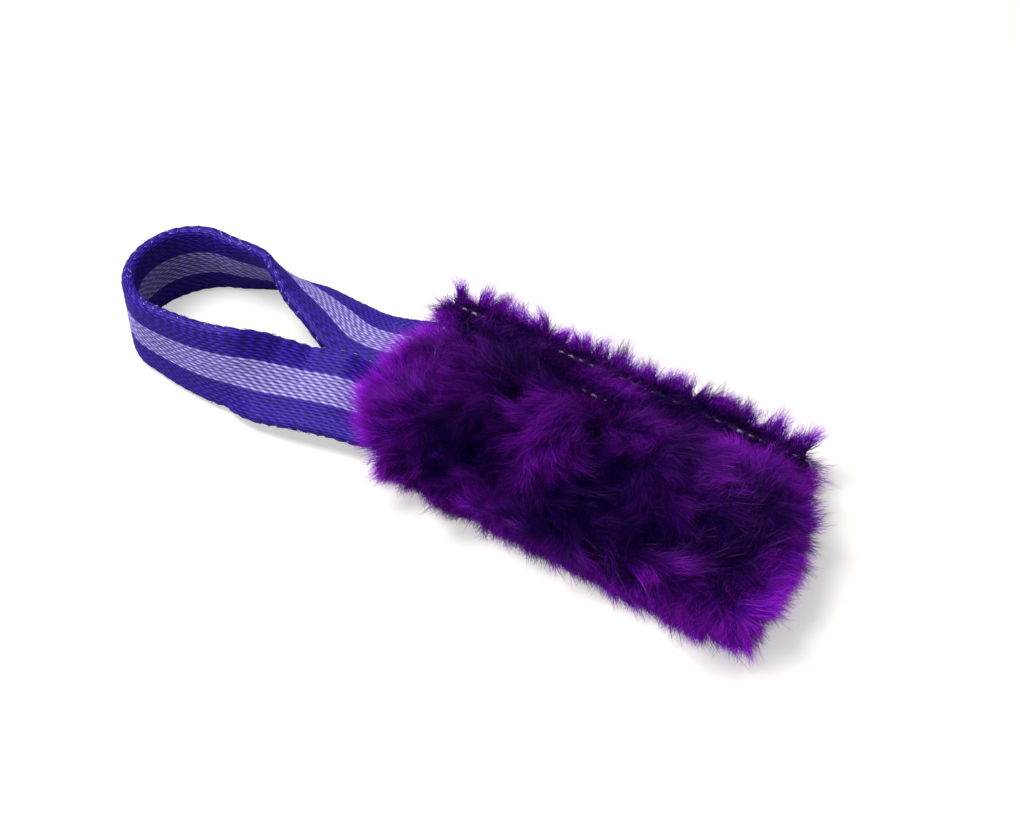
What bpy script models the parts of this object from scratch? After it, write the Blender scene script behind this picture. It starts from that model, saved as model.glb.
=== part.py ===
"""Furry prey dummy: a flat tube of long-pile faux fur round the two tails of a webbing loop handle.

Metres, +Z up. The dummy lies on its lower side with the fold of the fur at -Y, its two seam rows at +Y and
the handle at -X. The origin is under the middle of the whole object, on the surface that it lies on.
"""

import math

import bmesh
import bpy
import numpy as np
from mathutils import Matrix, Vector

# Driving dimensions
body_length = 0.133
body_width = 0.068
body_height = 0.0215
handle_reach = 0.0761
leg_overreach = 0.0029
webbing_width = 0.025
webbing_thickness = 0.0036
loop_radius = 0.0192

# Fur fabric: its knitted backing, and the pile under the body, which its weight lays flat
backing_thickness = 0.0015
lower_pile = 0.004
edge_lift = 0.003
corner_inset = 0.014
rim_inset = 0.003
corner_reach = 0.020
mouth_corner_cut = 0.014
end_corner_cut = 0.009
relief_height = 0.0030
relief_reach = 0.0047
cage_step = 0.0085
base_flat_depth = 0.0005

# Webbing tails inside the fur
tail_end_margin = 0.017
tail_spacing = 0.003
tail_room = 0.00045

# Flex of the webbing outside the mouth
flex_reach = 0.0125
flex_height = 0.0096
flex_radius = 0.0118
running_gap = 0.0003

# Lockstitch seams
thread_diameter = 0.0007
stitch_pitch = 0.0033
stitch_dip = 0.0009
thread_room = 0.0003
outer_row_from_edge = 0.008
row_spacing = 0.0097
row_end_margin = 0.009
closed_end_margin = 0.013
end_seam_from_edge = 0.010
mouth_seam_margin = 0.003
cross_seam_margin = 0.009
parting_width = 0.0055
slit_width = 0.0004

# One overrun serves every cut
overrun = 0.003

# How finely the curves are drawn
route_step = 0.003
tail_points = 6
round_end_points = 9
round_end_margin_degrees = 5
rod_sides = 64
sharp_edge_degrees = 35

# Where the webbing runs, seen from above. Each point is a share of the handle's reach out from the mouth, and
# a share of the loop's radius from the middle line of the loop. The round end between the legs is an arc.
near_leg_shares = ((0.0, -0.44), (0.13, -0.575), (0.26, -0.76), (0.38, -0.92), (0.53, -1.0))
far_leg_shares = ((0.60, 1.18), (0.44, 1.155), (0.28, 1.01), (0.13, 0.88), (0.0, 0.94))
loop_sidestep_share = 0.67

# How far the webbing leans from standing on its edge, in degrees, at shares of the handle's reach from the mouth
near_lean_shares = ((0.0, 62.0), (0.13, 66.0), (0.25, 49.0), (0.37, 18.0), (0.52, 10.0), (0.72, 2.0))
far_lean_shares = ((0.0, 88.0), (0.14, 84.0), (0.28, 67.5), (0.44, 55.0), (0.62, 26.0), (0.80, 11.0), (0.95, 0.0))
flat_lean = 90.0
settling_share = 0.24
mouth_lift_share = 0.65

# The body's top: at shares of its width from the fold, and of its length from the mouth, shares of its height.
# It is low over the sewn band, stands again in the raw edge, and slopes down to the closed end.
across_shares = (
    (0.0, 0.56), (0.07, 0.68), (0.16, 0.74), (0.30, 0.79), (0.48, 0.82), (0.60, 0.81), (0.68, 0.76),
    (0.74, 0.64), (0.80, 0.65), (0.84, 0.62), (0.885, 0.56), (0.94, 0.66), (1.0, 0.62),
)
along_shares = ((0.0, 0.80), (0.05, 0.96), (0.11, 1.0), (0.80, 1.0), (0.88, 0.89), (0.95, 0.79), (1.0, 0.68))

# Crests and hollows of the pile: share of the body's length from the mouth, share of its half width from its
# middle line, and a share of the relief's height
relief_shares = (
    (0.37, -0.60, -1.0), (0.30, -0.63, -0.7), (0.57, -0.36, -1.0), (0.63, -0.52, -0.7), (0.70, -0.43, -0.8),
    (0.82, -0.49, -1.0), (0.86, -0.23, -0.8), (0.55, -0.86, -0.5), (0.36, -0.05, -0.4), (0.60, 0.17, 0.8),
    (0.44, 0.03, 0.5), (0.44, -0.30, 0.4), (0.73, 0.06, 0.5), (0.83, 0.07, 0.3), (0.95, -0.48, 0.5),
    (0.72, -0.96, 0.6), (0.87, -1.02, 0.5), (0.09, -0.40, 0.8), (0.13, -0.82, 0.7), (0.09, 0.08, 0.6),
)

# Where a stitch lies between its two holes, as shares of its length
stitch_lie_shares = (0.25, 0.75)

# Places worked out from the sizes: the near leg leans out past the fold, which sets the body's middle line off
overall_length = body_length + handle_reach
middle_y = leg_overreach / 2
mouth_x = handle_reach - overall_length / 2
end_x = overall_length / 2
back_y = middle_y + body_width / 2
front_y = middle_y - body_width / 2
tip_x = -overall_length / 2
loop_x = tip_x + webbing_thickness / 2 + loop_radius
loop_y = middle_y - loop_sidestep_share * loop_radius
tail_bottom = lower_pile + backing_thickness + tail_room
tail_z = tail_bottom + webbing_thickness / 2
tail_pitch = webbing_width + tail_spacing
upper_backing_top = tail_bottom + webbing_thickness + tail_room + backing_thickness
outer_row_y = back_y - outer_row_from_edge
inner_row_y = outer_row_y - row_spacing
far_tail_y = outer_row_y - thread_diameter - tail_room - webbing_width / 2
near_tail_y = far_tail_y - tail_pitch
tail_end_x = end_x - tail_end_margin
flex_x = mouth_x - flex_reach
settled_x = mouth_x + settling_share * handle_reach

FUR = (0.095, 0.008, 0.245, 1.0)
WEBBING = (0.052, 0.020, 0.340, 1.0)
THREAD = (0.62, 0.60, 0.66, 1.0)


def clear_scene():
    for obj in list(bpy.data.objects):
        bpy.data.objects.remove(obj, do_unlink=True)


def new_collection(name):
    found = bpy.data.collections.new(name)
    bpy.context.scene.collection.children.link(found)
    return found


def new_material(name, colour, roughness, sheen=0.0):
    material = bpy.data.materials.new(name)
    material.use_nodes = True
    shader = material.node_tree.nodes["Principled BSDF"]
    shader.inputs["Base Color"].default_value = colour
    shader.inputs["Roughness"].default_value = roughness
    shader.inputs["Metallic"].default_value = 0.0
    shader.inputs["Sheen Weight"].default_value = sheen
    return material


def add_object(name, data, material=None, cutter=False):
    obj = bpy.data.objects.new(name, data)
    (cutters if cutter else dummy).objects.link(obj)
    if material:
        obj.data.materials.append(material)
    if cutter:
        obj.hide_render = True
        obj.display_type = "WIRE"
    return obj


def as_mesh(obj):
    """Takes the object's evaluated shape, with caps welded and normals out, and makes it the object's own mesh."""
    graph = bpy.context.evaluated_depsgraph_get()
    graph.update()
    mesh = bpy.data.meshes.new_from_object(obj.evaluated_get(graph))
    name, matrix, collection = obj.name, obj.matrix_world.copy(), obj.users_collection[0]
    hidden, display = obj.hide_render, obj.display_type
    materials = [slot.material for slot in obj.material_slots]
    bpy.data.objects.remove(obj, do_unlink=True)
    shape = bmesh.new()
    shape.from_mesh(mesh)
    bmesh.ops.remove_doubles(shape, verts=shape.verts, dist=running_gap / 100)
    bmesh.ops.recalc_face_normals(shape, faces=shape.faces)
    shape.to_mesh(mesh)
    shape.free()
    solid = bpy.data.objects.new(name, mesh)
    solid.matrix_world = matrix
    solid.hide_render, solid.display_type = hidden, display
    if not mesh.materials:
        for material in materials:
            mesh.materials.append(material)
    collection.objects.link(solid)
    return solid


def box_cutter(name, low, high):
    """A box between two corners."""
    shape = bmesh.new()
    bmesh.ops.create_cube(shape, size=1.0)
    low, high = Vector(low), Vector(high)
    bmesh.ops.scale(shape, vec=high - low, verts=shape.verts)
    bmesh.ops.translate(shape, vec=(low + high) / 2, verts=shape.verts)
    mesh = bpy.data.meshes.new(name)
    shape.to_mesh(mesh)
    shape.free()
    return add_object(name, mesh, cutter=True)


def rod_cutter(name, radius, centre, half_length):
    """A round rod along Y."""
    shape = bmesh.new()
    turn = Matrix.Rotation(math.pi / 2, 4, "X")
    bmesh.ops.create_cone(
        shape, cap_ends=True, segments=rod_sides, radius1=radius, radius2=radius, depth=2 * half_length,
        matrix=Matrix.Translation(centre) @ turn,
    )
    mesh = bpy.data.meshes.new(name)
    shape.to_mesh(mesh)
    shape.free()
    return add_object(name, mesh, cutter=True)


def boolean(obj, other, operation="DIFFERENCE"):
    modifier = obj.modifiers.new(operation.title(), "BOOLEAN")
    modifier.operation = operation
    modifier.object = other
    modifier.solver = "EXACT"


def smooth_share(share):
    share = min(max(share, 0.0), 1.0)
    return share * share * (3 - 2 * share)


def curve_through(points, step):
    """Points at most one step apart on a smooth curve through the given points."""
    points = [np.array(point, float) for point in points]
    padded = [2 * points[0] - points[1]] + points + [2 * points[-1] - points[-2]]
    found = []
    for a, b, c, d in zip(padded, padded[1:], padded[2:], padded[3:]):
        count = max(1, math.ceil(np.linalg.norm(c - b) / step))
        for share in np.arange(count) / count:
            found.append(
                b + share * ((c - a) / 2 + share * (a - 5 * b / 2 + 2 * c - d / 2
                + share * ((d - a) / 2 + 3 * (b - c) / 2)))
            )
    return found + [points[-1]]


def lean_at(x, shares):
    """The webbing's lean in radians at a place along X: flat in the fur, then standing up towards the loop."""
    out = (mouth_x - x) / handle_reach
    if out < 0:
        mouth_lean = shares[0][1]
        return math.radians(mouth_lean + (flat_lean - mouth_lean) * smooth_share(-out / settling_share))
    for (near, lean), (far, next_lean) in zip(shares, shares[1:]):
        if out < far:
            return math.radians(lean + (next_lean - lean) * (out - near) / (far - near))
    return math.radians(shares[-1][1])


def webbing_height(x, lean):
    """The middle of the webbing stands where its lower edge rests, and rises to its seat inside the fur."""
    half_width = webbing_width / 2 - webbing_thickness / 2
    resting = half_width * abs(math.cos(lean)) + webbing_thickness / 2
    inward = smooth_share(1 - (mouth_x - x) / (mouth_lift_share * handle_reach))
    if x > mouth_x:
        inside = smooth_share((x - mouth_x) / (settling_share * handle_reach))
    else:
        inside = 0.0
    mouth_lift = (tail_z - webbing_thickness / 2) * inward
    lifted = resting + mouth_lift * (1 - half_width * abs(math.cos(lean)) / webbing_width)
    return lifted + (tail_z - lifted) * inside


def leg_points(shares, tail_y):
    """A leg seen from above as (x, y): its tail inside the fur, and its points outside from the mouth on."""
    outside = [(mouth_x - out * handle_reach, loop_y + side * loop_radius) for out, side in shares]
    inside = [(x, tail_y) for x in np.linspace(tail_end_x, settled_x, tail_points)]
    return inside, outside


def round_end():
    """The loop's end as an arc, from its near side to its far side."""
    first, last = -90 - round_end_margin_degrees, -270 + round_end_margin_degrees
    angles = np.radians(np.linspace(first, last, round_end_points))
    return [(loop_x + loop_radius * math.cos(a), loop_y + loop_radius * math.sin(a)) for a in angles]


def webbing_route():
    """(x, y, z, lean) along the webbing, from the near tail's end to the far one's, and the index of its tip."""
    near_inside, near_outside = leg_points(near_leg_shares, near_tail_y)
    far_inside, far_outside = leg_points(tuple(reversed(far_leg_shares)), far_tail_y)
    far_leg = list(reversed(far_outside)) + list(reversed(far_inside))
    plan = curve_through(near_inside + near_outside + round_end() + far_leg, route_step)
    route = []
    tip = int(np.argmin([point[0] for point in plan]))
    for index, (x, y) in enumerate(plan):
        near = lean_at(x, near_lean_shares)
        far = lean_at(x, far_lean_shares)
        side = smooth_share((y - loop_y) / (2 * loop_radius) + 1 / 2)
        at_tip = 1 - smooth_share((x - tip_x) / (2 * loop_radius))
        lean = near if index <= tip else far
        lean = lean * (1 - at_tip) + (near * (1 - side) + far * side) * at_tip
        route.append((x, y, webbing_height(x, lean), lean))
    return route, tip


def webbing_curve(name, points, grow=0.0):
    """A ribbon with round edges along the route, leaning towards the inside of the loop."""
    curve = bpy.data.curves.new(name, "CURVE")
    curve.dimensions = "3D"
    curve.twist_mode = "Z_UP"
    curve.bevel_depth = webbing_thickness / 2 + grow
    curve.extrude = (webbing_width - webbing_thickness) / 2
    curve.bevel_resolution = 1
    curve.use_fill_caps = True
    spline = curve.splines.new("POLY")
    spline.points.add(len(points) - 1)
    for target, (x, y, z, lean) in zip(spline.points, points):
        target.co = (x, y, z, 1.0)
        target.tilt = lean
    return curve


def add_webbing(name, points, material=None, grow=0.0, cutter=False):
    return as_mesh(add_object(name, webbing_curve(name, points, grow), material, cutter))


def make_handle(material):
    """The one webbing in three lengths: the loop, which lifts about its flex, and the two tails in the fur."""
    route, tip = webbing_route()
    seat = flex_x + flex_radius + overrun
    near = [point for point in route[:tip] if point[0] > flex_x - overrun]
    far = [point for point in route[tip:] if point[0] > flex_x - overrun]
    middle = [point for point in route if point[0] < seat]
    loop = add_webbing("handle_loop", middle, material)
    tails = [add_webbing("near_tail", near, material), add_webbing("far_tail", far, material)]
    half = body_width / 2 + overrun
    centre = (flex_x, 0, flex_height)
    top = body_height + overrun
    inner = box_cutter("behind_flex", (flex_x, -half, -overrun), (end_x, half, top))
    boolean(inner, rod_cutter("flex_round", flex_radius, centre, half + overrun))
    boolean(loop, as_mesh(inner))
    outer = box_cutter("before_flex", (flex_x - webbing_width, -half, -overrun), (flex_x, half, top))
    boolean(outer, rod_cutter("flex_hollow", flex_radius + running_gap, centre, half - thread_room), "UNION")
    outer = as_mesh(outer)
    for tail in tails:
        boolean(tail, outer)
    rooms = [
        add_webbing("near_room", near, grow=tail_room, cutter=True),
        add_webbing("far_room", far, grow=tail_room, cutter=True),
    ]
    loop = as_mesh(loop)
    hang_on(loop, centre)
    for tail in tails:
        as_mesh(tail)
    return rooms


def hang_on(piece, place):
    """Gives a moving piece an empty on its joint's axis as its parent, and leaves the piece where it is."""
    pivot = bpy.data.objects.new(piece.name + "_pivot", None)
    pivot.empty_display_size = flex_radius
    pivot.location = place
    dummy.objects.link(pivot)
    piece.parent = pivot
    piece.matrix_parent_inverse = Matrix.Translation(-Vector(place))


def cage_cuts(start, length, shares):
    """Places between the points of a table of shares, close enough for the cage."""
    points = [start + share * length for share, _ in shares]
    cuts = []
    for near, far in zip(points, points[1:]):
        count = math.ceil((far - near) / cage_step)
        cuts += list(np.linspace(near, far, count, endpoint=False))
    return cuts[1:]


def relief_at(x, y):
    """How far the pile stands in a crest or lies in a hollow at a place, from -1 to 1."""
    total = 0.0
    for along, across, height in relief_shares:
        gap = math.hypot(x - mouth_x - along * body_length, y - middle_y - across * body_width / 2)
        total += height * math.exp(-((gap / relief_reach) ** 2) / 2)
    return max(-1.0, min(1.0, total))


def top_at(x, y):
    """The height of the body's top over a place."""
    across = np.interp((y - front_y) / body_width, *zip(*across_shares))
    along = np.interp((x - mouth_x) / body_length, *zip(*along_shares))
    return body_height * across * along + relief_height * relief_at(x, y)


def drawn_in(x, y):
    """How far the two free corners, at the mouth's fold and at the closed end's raw edge, are drawn in along X."""
    mouth_cut = mouth_corner_cut * smooth_share(1 - (y - front_y) / corner_reach)
    end_cut = end_corner_cut * smooth_share((y - middle_y) / (body_width / 2))
    fade = 2 * corner_reach
    return mouth_cut * max(0.0, 1 - (x - mouth_x) / fade) - end_cut * max(0.0, 1 - (end_x - x) / fade)


def pillow(name, material):
    """The fur body's outer form, from a box cage that takes the heights of its top and is smoothed."""
    low = Vector((mouth_x, front_y, -base_flat_depth))
    high = Vector((end_x, back_y, body_height))
    middle = (low + high) / 2
    shape = bmesh.new()
    bmesh.ops.create_cube(shape, size=1.0)
    bmesh.ops.scale(shape, vec=high - low, verts=shape.verts)
    bmesh.ops.translate(shape, vec=middle, verts=shape.verts)
    cuts = [((x, 0, 0), (1, 0, 0)) for x in cage_cuts(mouth_x, body_length, along_shares)]
    cuts += [((0, y, 0), (0, 1, 0)) for y in cage_cuts(front_y, body_width, across_shares)]
    cuts.append((middle, (0, 0, 1)))
    for place, normal in cuts:
        geometry = shape.verts[:] + shape.edges[:] + shape.faces[:]
        bmesh.ops.bisect_plane(shape, geom=geometry, plane_co=place, plane_no=normal)
    for vert in shape.verts:
        x, y, z = vert.co
        beside = min(x - low.x, high.x - x, y - low.y, high.y - y)
        at_rim = beside < rim_inset / 2
        if z > middle.z + rim_inset:
            vert.co.z = top_at(x, y)
        elif z < middle.z - rim_inset:
            vert.co.z += edge_lift * smooth_share(1 - beside / corner_inset)
        if at_rim and abs(z - middle.z) > rim_inset:
            vert.co.x += rim_inset * ((x < low.x + rim_inset) - (x > high.x - rim_inset))
            vert.co.y += rim_inset * ((y < low.y + rim_inset) - (y > high.y - rim_inset))
        vert.co.x += drawn_in(x, y)
    mesh = bpy.data.meshes.new(name)
    shape.to_mesh(mesh)
    shape.free()
    obj = add_object(name, mesh, material)
    smoothing = obj.modifiers.new("Smooth", "SUBSURF")
    smoothing.levels = 1
    smoothing.render_levels = 1
    obj = as_mesh(obj)
    fit_between(obj.data, low, high)
    return obj


def fit_between(mesh, low, high):
    """Smoothing draws a cage in, so the form is let out again to the corners that it was drawn between."""
    places = np.array([vert.co for vert in mesh.vertices])
    least, most = places.min(axis=0), places.max(axis=0)
    scale = (np.array(high) - np.array(low)) / (most - least)
    for vert, place in zip(mesh.vertices, (places - least) * scale + np.array(low)):
        vert.co = place


def parting_cutter(name, start, end, floor, wide):
    """A seam's channel between two places: as wide as the thread's room at its floor, opening upwards."""
    start, end = Vector(start), Vector(end)
    along = (end - start).normalized()
    across = Vector((0, 0, 1)).cross(along)
    half_floor = thread_diameter / 2 + thread_room
    height = body_height + overrun - floor
    outline = [(-half_floor, 0), (half_floor, 0), (wide / 2, height), (-wide / 2, height)]
    curve = bpy.data.curves.new(name, "CURVE")
    curve.dimensions = "2D"
    curve.fill_mode = "BOTH"
    curve.extrude = (end - start).length / 2
    spline = curve.splines.new("POLY")
    spline.points.add(len(outline) - 1)
    spline.use_cyclic_u = True
    for point, (side, up) in zip(spline.points, outline):
        point.co = (side, up, 0, 1)
    obj = add_object(name, curve, cutter=True)
    middle = (start + end) / 2
    obj.matrix_world = Matrix((
        (across.x, 0, along.x, middle.x), (across.y, 0, along.y, middle.y), (0, 1, 0, floor), (0, 0, 0, 1)
    ))
    return as_mesh(obj)


def seams():
    """(name, start, end, parting width, how far the parting runs past) of each row of stitches, from above."""
    long_start, long_end = mouth_x + row_end_margin, end_x - closed_end_margin
    low_y, high_y = front_y + cross_seam_margin, inner_row_y - parting_width
    mouth_row = settled_x + mouth_seam_margin
    end_row = end_x - end_seam_from_edge
    room = thread_diameter / 2 + thread_room
    return (
        ("outer_seam", (long_start, outer_row_y), (long_end, outer_row_y), parting_width, corner_inset),
        ("inner_seam", (long_start, inner_row_y), (long_end, inner_row_y), parting_width, corner_inset),
        ("mouth_seam", (mouth_row, low_y), (mouth_row, high_y), 2 * room, room),
        ("end_seam", (end_row, low_y), (end_row, high_y), 2 * room, room),
    )


def add_thread(name, start, end, level, dip, material):
    """One thread of a lockstitch: a short stitch on the fabric, a dip at each hole, and so on along the row."""
    count = max(1, round((end - start).length / stitch_pitch))
    step = (end - start) / count
    points = []
    for index in range(count):
        hole = start + index * step
        points.append((hole, dip))
        points += [(hole + share * step, 0.0) for share in stitch_lie_shares]
    points.append((end, dip))
    curve = bpy.data.curves.new(name, "CURVE")
    curve.dimensions = "3D"
    curve.twist_mode = "Z_UP"
    curve.bevel_depth = thread_diameter / 2
    curve.bevel_resolution = 0
    curve.use_fill_caps = True
    spline = curve.splines.new("POLY")
    spline.points.add(len(points) - 1)
    for target, (place, down) in zip(spline.points, points):
        target.co = (place.x, place.y, level + down, 1.0)
    return as_mesh(add_object(name, curve, material))


def make_threads(cover, material):
    """Each seam's needle thread on top and bobbin thread below, each in its channel in the pile."""
    upper_floor = upper_backing_top - stitch_dip
    upper_level = upper_floor + thread_room + thread_diameter / 2 + stitch_dip
    lower_level = lower_pile - thread_room - thread_diameter / 2
    room = Vector((1, 1)) * (thread_diameter / 2 + thread_room)
    for name, start, end, wide, run_past in seams():
        start, end = Vector(start), Vector(end)
        past = (end - start).normalized() * run_past
        first, last = (*(start - past), 0), (*(end + past), 0)
        boolean(cover, parting_cutter(name + "_parting", first, last, upper_floor, wide))
        low, high = (*(start - room), -overrun), (*(end + room), lower_pile + stitch_dip)
        boolean(cover, box_cutter(name + "_groove", low, high))
        add_thread(name + "_needle_thread", start, end, upper_level, -stitch_dip, material)
        add_thread(name + "_bobbin_thread", start, end, lower_level, stitch_dip, material)


def make_cover(rooms, fur, thread):
    cover = pillow("fur_cover", fur)
    half = body_width / 2 + overrun
    boolean(cover, box_cutter("base_cut", (tip_x, -half, -body_height), (end_x + overrun, half, 0)))
    for room in rooms:
        boolean(cover, room)
    low, high = tail_z - slit_width / 2, tail_z + slit_width / 2
    back_slit = box_cutter(
        "back_slit", (mouth_x - overrun, far_tail_y, low), (end_x + overrun, back_y + overrun, high)
    )
    end_slit = box_cutter(
        "end_slit", (tail_end_x - overrun, near_tail_y - webbing_width / 2, low), (end_x + overrun, back_y, high)
    )
    boolean(back_slit, end_slit, "UNION")
    boolean(cover, as_mesh(back_slit))
    make_threads(cover, thread)
    as_mesh(cover)


clear_scene()
dummy = new_collection("furry_prey_dummy")
cutters = new_collection("cutters")
fur_material = new_material("fur", FUR, roughness=0.75, sheen=0.4)
webbing_material = new_material("webbing", WEBBING, roughness=0.6)
thread_material = new_material("thread", THREAD, roughness=0.5)
tail_rooms = make_handle(webbing_material)
make_cover(tail_rooms, fur_material, thread_material)
for part in dummy.objects:
    if part.type == "MESH":
        part.data.shade_smooth()
        part.data.set_sharp_from_angle(angle=math.radians(sharp_edge_degrees))
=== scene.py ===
"""Looks of the furry prey dummy: long-pile faux fur, a striped webbing loop and its lockstitch seams.

Metres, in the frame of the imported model: the fold of the fur at -Y, its seam rows at +Y, the handle at -X,
and the surface that the dummy lies on at z = 0.
"""

import math

import bpy
import numpy as np
from mathutils import Matrix, Vector, kdtree


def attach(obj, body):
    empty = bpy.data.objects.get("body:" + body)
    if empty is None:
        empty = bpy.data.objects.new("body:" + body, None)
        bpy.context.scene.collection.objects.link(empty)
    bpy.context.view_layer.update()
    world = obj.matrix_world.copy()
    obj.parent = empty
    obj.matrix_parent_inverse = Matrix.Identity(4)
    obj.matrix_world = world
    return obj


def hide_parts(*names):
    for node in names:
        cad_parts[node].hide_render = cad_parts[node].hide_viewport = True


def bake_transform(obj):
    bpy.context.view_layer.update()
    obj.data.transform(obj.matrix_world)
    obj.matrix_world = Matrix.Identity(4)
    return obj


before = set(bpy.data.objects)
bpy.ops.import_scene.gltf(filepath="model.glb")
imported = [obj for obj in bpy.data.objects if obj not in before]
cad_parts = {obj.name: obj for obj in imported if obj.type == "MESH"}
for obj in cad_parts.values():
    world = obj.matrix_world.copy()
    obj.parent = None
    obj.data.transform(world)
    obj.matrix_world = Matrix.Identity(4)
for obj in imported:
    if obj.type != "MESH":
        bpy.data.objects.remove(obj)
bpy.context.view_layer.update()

# Driving dimensions of the object, as in the CAD
body_length = 0.133
body_width = 0.068
body_height = 0.0215
handle_reach = 0.0761
leg_overreach = 0.0029
webbing_width = 0.025
webbing_thickness = 0.0036
loop_radius = 0.0192
backing_thickness = 0.0015
lower_pile = 0.004
tail_end_margin = 0.017
tail_spacing = 0.003
tail_room = 0.00045
flex_reach = 0.0125
thread_diameter = 0.0007
stitch_pitch = 0.0033
stitch_dip = 0.0009
hole_depth = 0.0016
thread_room = 0.0003
outer_row_from_edge = 0.008
row_spacing = 0.0097
row_end_margin = 0.009
closed_end_margin = 0.013
end_seam_from_edge = 0.010
mouth_seam_margin = 0.003
cross_seam_margin = 0.009
parting_width = 0.0055

# The webbing's way, seen from above: shares of the handle's reach from the mouth, and of the loop's radius
near_leg_shares = ((0.0, -0.44), (0.13, -0.575), (0.26, -0.76), (0.38, -0.92), (0.53, -1.0))
far_leg_shares = ((0.60, 1.18), (0.44, 1.155), (0.28, 1.01), (0.13, 0.88), (0.0, 0.94))
loop_sidestep_share = 0.67

# Its lean in degrees from upright, at shares of the handle's reach from the mouth
near_lean_shares = ((0.0, 62.0), (0.13, 66.0), (0.25, 49.0), (0.37, 18.0), (0.52, 10.0), (0.72, 2.0))
far_lean_shares = (
    (0.0, 88.0), (0.14, 84.0), (0.28, 67.5), (0.44, 55.0), (0.62, 26.0), (0.80, 11.0), (0.95, 0.0),
)
flat_lean = 90.0
settling_share = 0.24
mouth_lift_share = 0.65
route_step = 0.001
route_smoothing = 0.0018
tail_points = 6
round_end_points = 9
round_end_margin_degrees = 5

# Places worked out from the sizes
overall_length = body_length + handle_reach
middle_y = leg_overreach / 2
mouth_x = handle_reach - overall_length / 2
end_x = overall_length / 2
back_y = middle_y + body_width / 2
front_y = middle_y - body_width / 2
tip_x = -overall_length / 2
loop_x = tip_x + webbing_thickness / 2 + loop_radius
loop_y = middle_y - loop_sidestep_share * loop_radius
tail_bottom = lower_pile + backing_thickness + tail_room
tail_z = tail_bottom + webbing_thickness / 2
tail_pitch = webbing_width + tail_spacing
upper_backing_top = tail_bottom + webbing_thickness + tail_room + backing_thickness
outer_row_y = back_y - outer_row_from_edge
inner_row_y = outer_row_y - row_spacing
far_tail_y = outer_row_y - thread_diameter - tail_room - webbing_width / 2
near_tail_y = far_tail_y - tail_pitch
tail_end_x = end_x - tail_end_margin
flex_x = mouth_x - flex_reach
settled_x = mouth_x + settling_share * handle_reach

# Weave of the webbing: warp yarns that float over each other's dips
yarn_count = 64
yarn_samples = 7
yarn_half_width_share = 0.515
yarn_width_range = (0.94, 1.06)
yarn_drift = 0.006
yarn_sway = 0.085
float_length = 0.0030
float_rise_share = 0.36
weave_relief = 0.00040
weave_inset = 0.00032
weave_step = 0.00033
rim_relief_share = 0.16
rim_scallop = 0.00012
scallop_pitch = 0.0037
stripe_half_width = webbing_width / 6
loop_pieces = 3
flex_end = 0.0125
hidden_depth = 0.020
hidden_step = 0.002
hidden_tone = 0.6

# Catch thread along the webbing's edges: each strand's place and spread round the edge in degrees, and one
# stitch's way over it
catch_pitch = 0.0031
catch_radius = 0.00008
catch_share = 0.5
catch_strands = ((-30, 6), (-4, 5), (24, 6))
catch_swing = 8
catch_spread_shares = (-1.0, -0.5, 0.5, 1.0)
catch_rise_shares = (-2.0, 0.6, 0.6, -2.0)
catch_sides = 5

# The backing of the fur, folded along the front, and where it ends short of the pile's outline
mouth_pile_inset = 0.0128
mouth_back_reach = 0.0065
end_pile_inset = 0.0068
raw_edge_inset = 0.0040
mouth_corner_cut = 0.0140
end_corner_cut = 0.0098
end_corner_start_share = -0.2
corner_reach = 0.0180
end_fold_reach = 0.0012
joining_run = 0.0034
skin_corner = 0.0120
skin_crown = 0.0022
skin_relief = 0.0012
furrow_width = 0.0026
backing_rows = 80
backing_columns = 160

# Pile of the fur: locks of tufts of fibres
pile_length = 0.0145
groove_width = 0.0026
outer_groove_shares = (1.3, 0.75)
inner_groove_shares = (1.6, 1.0)
slope_width = 0.0070
parted_widths = (0.0010, 0.0013)
row_clearance = 0.0012
floor_clearance = 0.0003
lock_count = 2600
tuft_count = 24000
strand_count = 380000
strand_width = 0.00014
strand_width_range = (0.6, 1.3)
strand_taper_share = 1.02
strand_roll = 0.7
strand_segments = 5
strands_in_piece = 21500
stray_share = 0.09
undercoat_share = 0.16
undercoat_length_share = 0.55
undercoat_lean = 0.4
undercoat_spread = 0.35
lower_side_share = 0.35

# How locks, tufts and fibres differ: lifts and curls in degrees, how firmly a tuft holds to its lock and a
# fibre to its tuft, and how far each wanders towards its tip
lock_length_range = (0.88, 1.10)
lock_lift_spread = 5
lock_curl = 55
lock_curl_spread = 20
lock_calm_share = 0.7
tuft_hold_range = (0.12, 0.55)
tuft_hold_power = 1.3
tuft_wander = 0.0013
tuft_wander_power = 1.6
strand_hold_range = (0.05, 0.55)
strand_hold_power = 1.1
strand_wander = 0.0009
strand_wander_power = 1.5
strand_stretch_range = (0.60, 1.06)
stray_wander = 0.0018
stray_wander_power = 2
wave_size = 0.0008
wave_turns_range = (0.8, 1.5)
strand_wave_share = 0.8

# Distances over which the pile's turns, lifts, crests and curls vary
wide_turn_length = 0.022
fine_turn_length = 0.008
lift_length = 0.015
relief_length = 0.012
curl_length = 0.013
waves_in_field = 24
wave_number_range = (0.6, 1.4)

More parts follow.
